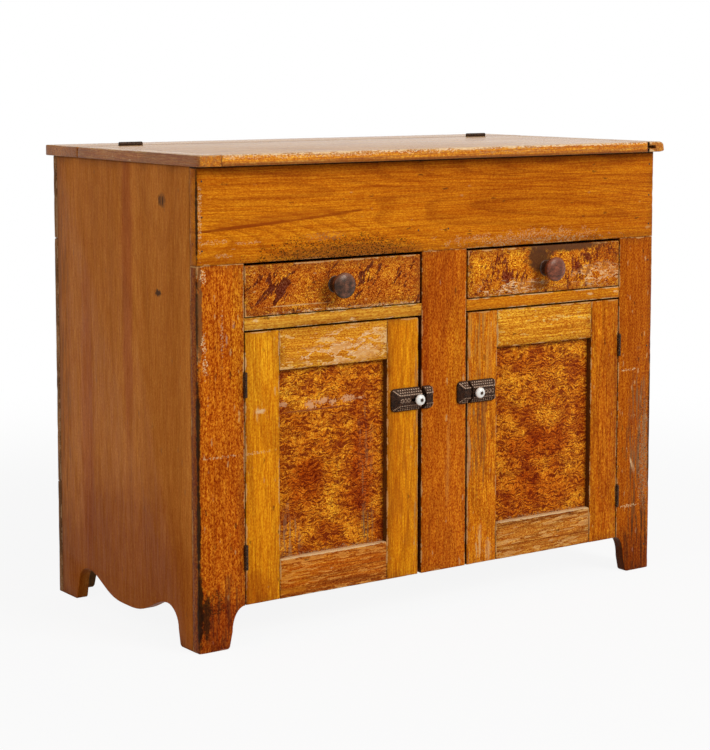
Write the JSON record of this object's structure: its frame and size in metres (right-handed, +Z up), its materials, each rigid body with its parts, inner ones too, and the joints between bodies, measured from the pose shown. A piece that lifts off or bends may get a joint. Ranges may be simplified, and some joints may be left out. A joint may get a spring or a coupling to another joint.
{
  "type": "lift-top cupboard",
  "caption": "Free-standing grain-painted wooden cupboard: a hinged lid over a well, drawers with turned knobs, panelled doors with cast latches, scalloped sides and feet.",
  "frame": {"origin": "on the floor under the middle of the overall box", "axes": "+Z up, +X to the right along the front, +Y from the front to the back"},
  "size_m": [1.0848, 0.5864, 0.8809],
  "materials": {
    "side_wood": "aged brown varnish on softwood",
    "face_wood": "aged orange varnish on softwood",
    "door_wood": "aged golden varnish with crazing",
    "panel_paint": "burl grain painting under varnish",
    "drawer_paint": "burl grain painting under varnish",
    "lid_wood": "worn tan varnish",
    "inner_wood": "bare aged softwood",
    "knob_wood": "dark varnished turned wood",
    "hinge_iron": "dull dark iron",
    "latch_iron": "dark brown lacquered casting",
    "porcelain": "white glaze"
  },
  "bodies": {
    "case": {"back_foot_board": "side_wood", "back_middle_board": "side_wood", "back_top_board": "side_wood", "bottom_board": "inner_wood", "centre_face_stile": "face_wood", "drawer_bed": "inner_wood", "fascia_board": "face_wood", "left_door_lower_hinge_fixed_leaf": "hinge_iron", "left_door_upper_hinge_fixed_leaf": "hinge_iron", "left_drawer_rail": "face_wood", "left_face_stile": "face_wood", "left_latch_keeper": "latch_iron", "left_side_panel": "side_wood", "lid_back_strip": "lid_wood", "lid_left_hinge_fixed_leaf": "hinge_iron", "lid_right_hinge_fixed_leaf": "hinge_iron", "right_door_lower_hinge_fixed_leaf": "hinge_iron", "right_door_upper_hinge_fixed_leaf": "hinge_iron", "right_drawer_rail": "face_wood", "right_face_stile": "face_wood", "right_latch_keeper": "latch_iron", "right_side_panel": "side_wood", "well_floor": "inner_wood"},
    "lid": {"lid_board": "lid_wood", "lid_left_cleat": "lid_wood", "lid_left_hinge_moving_leaf": "hinge_iron", "lid_right_cleat": "lid_wood", "lid_right_hinge_moving_leaf": "hinge_iron"},
    "left_door": {"left_door_bottom_rail": "door_wood", "left_door_hinge_stile": "door_wood", "left_door_latch_stile": "door_wood", "left_door_lower_hinge_moving_leaf": "hinge_iron", "left_door_panel": "panel_paint", "left_door_top_rail": "door_wood", "left_door_upper_hinge_moving_leaf": "hinge_iron", "left_latch_case": "latch_iron"},
    "right_door": {"right_door_bottom_rail": "door_wood", "right_door_hinge_stile": "door_wood", "right_door_latch_stile": "door_wood", "right_door_lower_hinge_moving_leaf": "hinge_iron", "right_door_panel": "panel_paint", "right_door_top_rail": "door_wood", "right_door_upper_hinge_moving_leaf": "hinge_iron", "right_latch_case": "latch_iron"},
    "left_drawer": {"left_drawer_back": "inner_wood", "left_drawer_bottom": "inner_wood", "left_drawer_front": "drawer_paint", "left_drawer_knob": "knob_wood", "left_drawer_left_side": "inner_wood", "left_drawer_right_side": "inner_wood"},
    "right_drawer": {"right_drawer_back": "inner_wood", "right_drawer_bottom": "inner_wood", "right_drawer_front": "drawer_paint", "right_drawer_knob": "knob_wood", "right_drawer_left_side": "inner_wood", "right_drawer_right_side": "inner_wood"},
    "left_latch": {"left_latch_bolt": "latch_iron", "left_latch_knob": "porcelain"},
    "right_latch": {"right_latch_bolt": "latch_iron", "right_latch_knob": "porcelain"}
  },
  "joints": [
    {"name": "lid_lift", "type": "hinge", "parent": "case", "child": "lid", "pos_m": [0, 0.16225, 0.8774], "axis": [-1, 0, 0], "range_deg": [0, 105]},
    {"name": "left_door_swing", "type": "hinge", "parent": "case", "child": "left_door", "pos_m": [-0.4388, -0.25855, 0.314], "axis": [0, 0, -1], "range_deg": [0, 165]},
    {"name": "right_door_swing", "type": "hinge", "parent": "case", "child": "right_door", "pos_m": [0.446, -0.25855, 0.314], "axis": [0, 0, 1], "range_deg": [0, 165]},
    {"name": "left_drawer_slide", "type": "slide", "parent": "case", "child": "left_drawer", "axis": [0, -1, 0], "range_m": [0, 0.32]},
    {"name": "right_drawer_slide", "type": "slide", "parent": "case", "child": "right_drawer", "axis": [0, -1, 0], "range_m": [0, 0.32]},
    {"name": "left_latch_slide", "type": "slide", "parent": "left_door", "child": "left_latch", "axis": [-1, 0, 0], "range_m": [0, 0.012], "stiffness_N_per_m": 120, "springref_m": -0.004},
    {"name": "right_latch_slide", "type": "slide", "parent": "right_door", "child": "right_latch", "axis": [1, 0, 0], "range_m": [0, 0.012], "stiffness_N_per_m": 120, "springref_m": -0.004}
  ]
}
